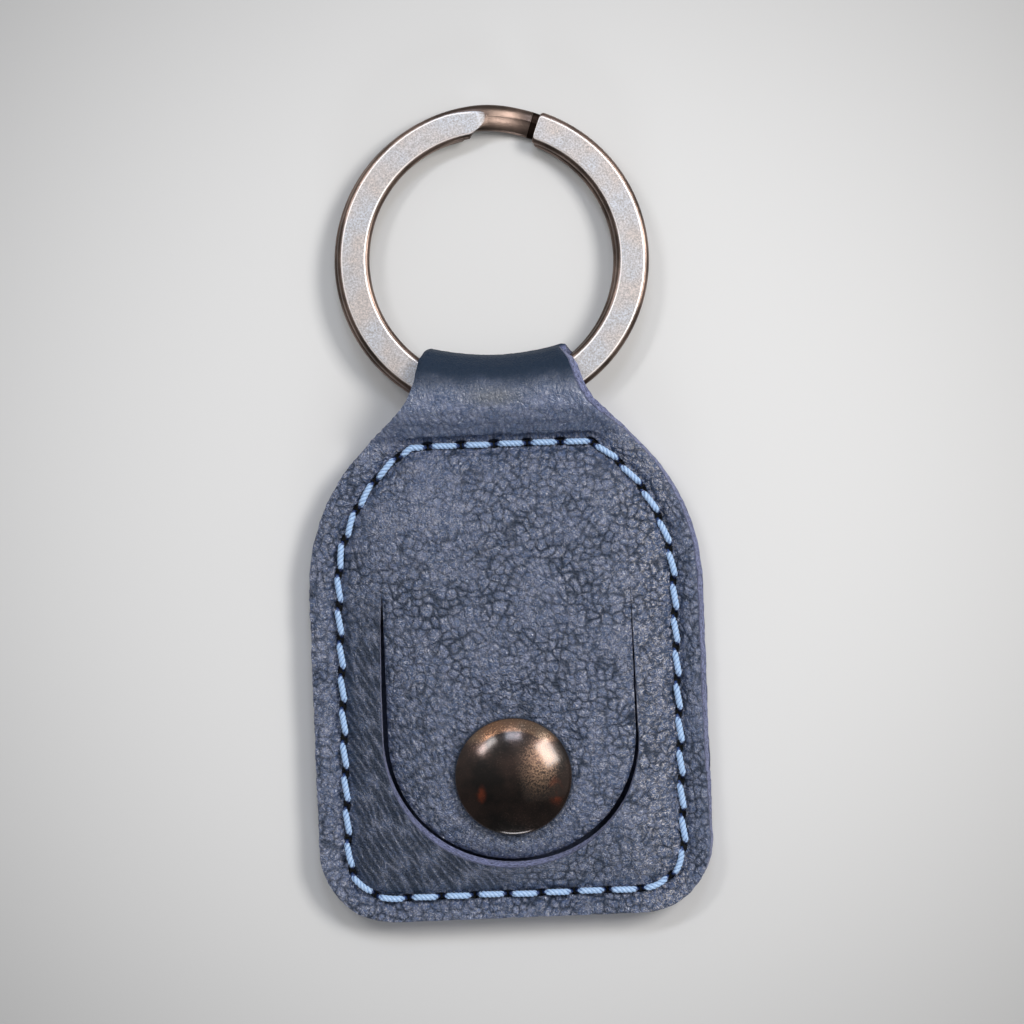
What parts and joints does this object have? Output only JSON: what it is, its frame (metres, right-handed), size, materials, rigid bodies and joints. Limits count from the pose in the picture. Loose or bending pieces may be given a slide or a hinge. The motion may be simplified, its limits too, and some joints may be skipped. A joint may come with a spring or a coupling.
{
  "type": "leather coin holder keychain",
  "caption": "Stitched leather coin pocket with a U-shaped snap flap, folded over at the top into a loop that holds a flat split key ring.",
  "frame": {"origin": "on the flat outer face of the back panel, at the middle of the leather body", "axes": "+Z out of the front through the snap's cap, +Y along the body towards the split ring, +X to the right as seen from the front"},
  "size_m": [0.0404, 0.0835, 0.0084],
  "materials": {
    "leather": "pebbled navy full-grain leather, low sheen, raw violet-blue cut edges",
    "thread": "twisted light blue sewing thread",
    "ring_plate": "satin nickel plate with fine scratches",
    "cap_plate": "polished gunmetal plate",
    "snap_metal": "plated pressed steel"
  },
  "bodies": {
    "fob": {"front_panel": "leather", "ring_loop": "leather", "back_panel": "leather", "needle_thread": "thread", "bobbin_thread": "thread", "snap_stud": "snap_metal", "stud_post": "snap_metal"},
    "ring": {"split_ring": "ring_plate"},
    "flap": {"flap": "leather", "cap_shell": "cap_plate", "cap_post": "snap_metal", "snap_socket": "snap_metal", "socket_spring": "snap_metal"}
  },
  "joints": [
    {"name": "ring_swing", "type": "hinge", "parent": "fob", "child": "ring", "pos_m": [0, 0.02608, 0.0028], "axis": [1, 0, 0], "range_deg": [-90, 95], "deforming": ["ring_loop"]},
    {"name": "flap_open", "type": "hinge", "parent": "fob", "child": "flap", "pos_m": [0, 0.0069, 0.0059], "axis": [-1, 0, 0], "range_deg": [0, 120], "deforming": ["socket_spring"]}
  ]
}
